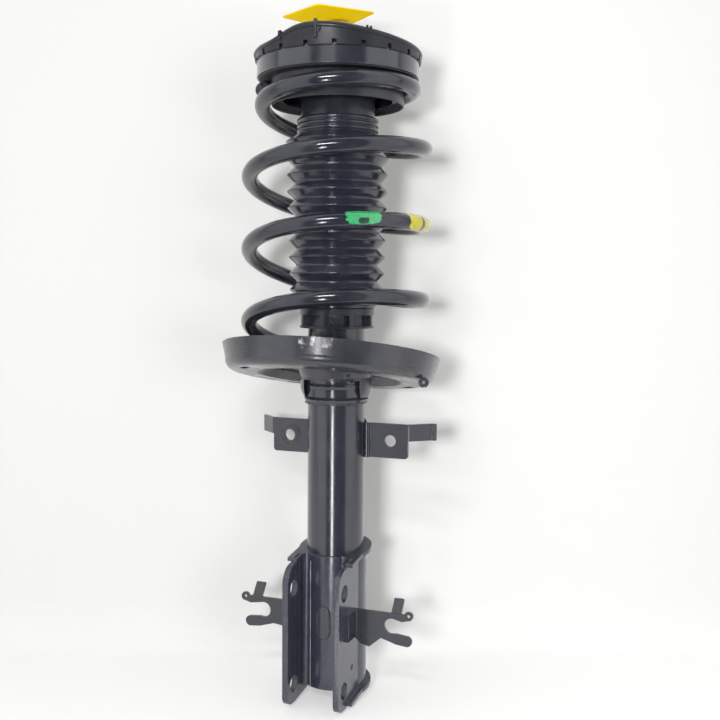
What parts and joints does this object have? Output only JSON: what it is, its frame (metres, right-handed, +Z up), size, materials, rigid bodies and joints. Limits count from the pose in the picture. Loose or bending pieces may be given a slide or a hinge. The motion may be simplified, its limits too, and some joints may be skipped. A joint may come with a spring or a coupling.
{
  "type": "suspension strut",
  "caption": "Coil spring over a damper, with a tilted lower seat, a folded boot, a two-bolt knuckle bracket, hose clips and a turning top mount on a threaded rod.",
  "frame": {"origin": "centre of the lower knuckle bolt hole, midway between the bracket's two ears", "axes": "+Z up along the strut, +X along the knuckle bolts, -Y out of the knuckle bracket's open side"},
  "size_m": [0.1954, 0.1914, 0.6085],
  "materials": {
    "tube_paint": "gloss black paint over smooth tube",
    "bracket_paint": "satin black paint over pressed steel",
    "seat_paint": "satin black paint, worn at the rim",
    "spring_coat": "gloss powder coat with green and yellow paint dabs",
    "band_paint": "gloss black paint",
    "boot_rubber": "smooth black rubber",
    "pad_rubber": "matt black rubber",
    "seal_rubber": "dark brown rubber",
    "foam": "straw-coloured foam",
    "cap_plastic": "moulded black plastic",
    "cup_plastic": "moulded black plastic",
    "cage_plastic": "natural nylon",
    "rod_chrome": "ground and chromed",
    "bare_steel": "turned steel",
    "plated_steel": "zinc plated",
    "sintered": "sintered iron",
    "bronze": "bronze-backed bush",
    "band_plastic": "filled low-friction plastic",
    "card": "plain yellow card"
  },
  "bodies": {
    "damper": {"outer_tube": "tube_paint", "tube_base_cap": "tube_paint", "base_valve": "sintered", "pressure_tube": "bare_steel", "rod_guide": "sintered", "guide_bush": "bronze", "oil_seal": "seal_rubber", "boot_cup": "cup_plastic", "knuckle_bracket_outer": "bracket_paint", "knuckle_bracket_inner": "bracket_paint", "hose_clip_right": "bracket_paint", "hose_clip_left": "bracket_paint", "link_bracket": "bracket_paint", "lower_spring_seat": "seat_paint", "seat_collar": "tube_paint", "seat_support": "seat_paint", "lower_spring_pad": "pad_rubber", "coil_spring": "spring_coat"},
    "upper_seat": {"upper_spring_seat": "band_paint", "upper_spring_pad": "pad_rubber", "dust_boot": "boot_rubber", "bump_stop": "foam", "bump_stop_cup": "cup_plastic", "bearing_lower_race": "bare_steel"},
    "ball_cage": {"bearing_cage": "cage_plastic", "bearing_balls": "rod_chrome"},
    "top_mount": {"bearing_upper_race": "bare_steel", "bearing_cap": "cap_plastic", "mount_rubber": "pad_rubber", "mount_core": "plated_steel", "rebound_washer": "plated_steel", "rod_nut": "plated_steel", "handling_tag": "card", "piston_rod": "rod_chrome", "piston": "sintered", "piston_band": "band_plastic", "valve_shims": "bare_steel", "piston_nut": "bare_steel", "rebound_stop": "bare_steel"}
  },
  "joints": [
    {"name": "stroke", "type": "slide", "parent": "damper", "child": "upper_seat", "axis": [0, 0, 1], "range_m": [-0.12, 0], "stiffness_N_per_m": 25000, "springref_m": 0.03, "deforming": ["coil_spring", "dust_boot"]},
    {"name": "steer_swivel", "type": "hinge", "parent": "upper_seat", "child": "top_mount", "pos_m": [0, 0.044, 0.54], "axis": [0, 0, 1], "range_deg": [-40, 40]},
    {"name": "cage_roll", "type": "hinge", "parent": "upper_seat", "child": "ball_cage", "pos_m": [0, 0.044, 0.54], "axis": [0, 0, 1], "range_deg": [-20, 20]}
  ],
  "couplings": [
    {"joint": "cage_roll", "follows": "steer_swivel", "ratio": 0.5}
  ]
}
